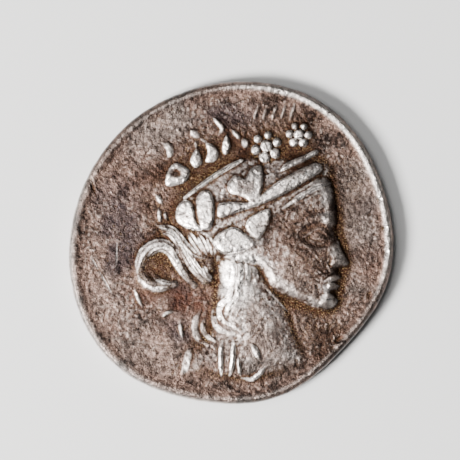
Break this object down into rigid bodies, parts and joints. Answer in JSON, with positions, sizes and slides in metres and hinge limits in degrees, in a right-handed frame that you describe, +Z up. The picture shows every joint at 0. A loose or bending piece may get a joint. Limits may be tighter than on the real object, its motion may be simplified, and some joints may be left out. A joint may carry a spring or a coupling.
{
  "type": "ancient silver coin",
  "caption": "Round struck silver coin, worn and toned, with a wreathed head in relief on one face and a standing figure on the other.",
  "frame": {"origin": "middle of the coin's outline, on the plane that the reverse lies on", "axes": "+Z up out of the obverse, +Y towards twelve o'clock of the obverse, +X to the right of the obverse"},
  "size_m": [0.033, 0.0328, 0.003],
  "materials": {
    "coin": "worn struck silver, grey on the high points, with reddish brown and dark grey toning in the low ones"
  },
  "bodies": {
    "root": {"coin": "coin"}
  },
  "joints": []
}
